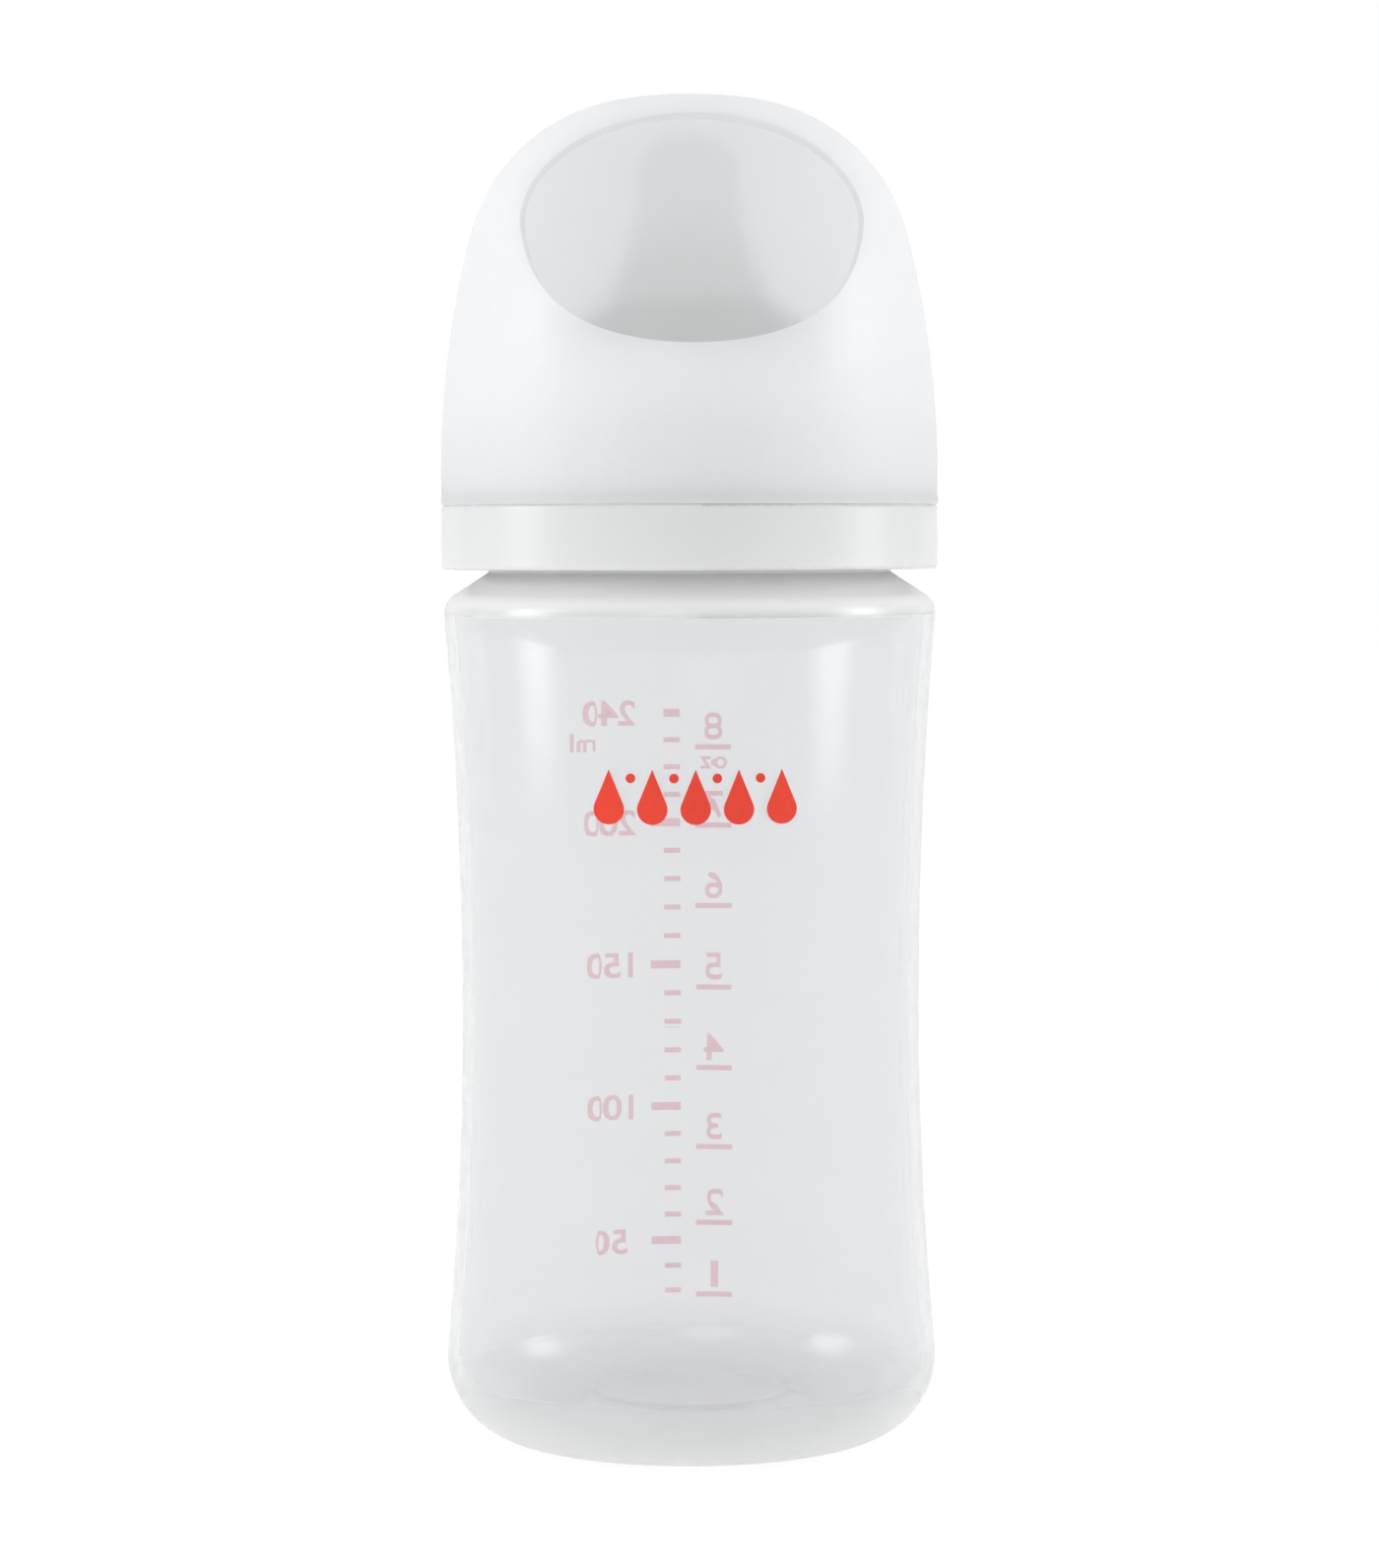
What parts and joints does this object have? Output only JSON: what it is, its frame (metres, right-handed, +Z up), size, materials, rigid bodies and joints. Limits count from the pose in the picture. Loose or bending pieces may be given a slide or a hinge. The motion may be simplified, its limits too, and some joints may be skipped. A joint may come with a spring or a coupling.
{
  "type": "baby bottle",
  "caption": "Wide-neck feeding bottle with a waisted clear body, silicone nipple, white screw collar and a domed frosted hood with an oval facet.",
  "frame": {"origin": "centre of the foot ring, on the surface that the bottle stands on", "axes": "+Z up along the bottle's axis, -Y towards the front with the motif and the hood's facet"},
  "size_m": [0.0646, 0.0646, 0.1751],
  "materials": {
    "body_plastic": "clear gloss",
    "silicone": "translucent satin",
    "collar_plastic": "white gloss",
    "hood_plastic": "frosted translucent",
    "scale_ink": "printed",
    "motif_ink": "printed"
  },
  "bodies": {
    "bottle": {"bottle_body": "body_plastic", "millilitre_scale": "scale_ink", "ounce_scale": "scale_ink", "front_motif": "motif_ink"},
    "nipple": {"nipple": "silicone"},
    "collar": {"collar_ring": "collar_plastic"},
    "hood": {"hood": "hood_plastic"}
  },
  "joints": [
    {"name": "collar_lift", "type": "slide", "parent": "bottle", "child": "nipple", "axis": [0, 0, 1], "range_m": [0, 0.02]},
    {"name": "collar_turn", "type": "hinge", "parent": "nipple", "child": "collar", "pos_m": [0, 0, 0.124], "axis": [0, 0, 1], "range_deg": [0, 1440]},
    {"name": "hood_lift", "type": "slide", "parent": "collar", "child": "hood", "axis": [0, 0, 1], "range_m": [0, 0.06]}
  ],
  "couplings": [
    {"joint": "collar_lift", "follows": "collar_turn", "m_per_rad": 0.00079577}
  ]
}
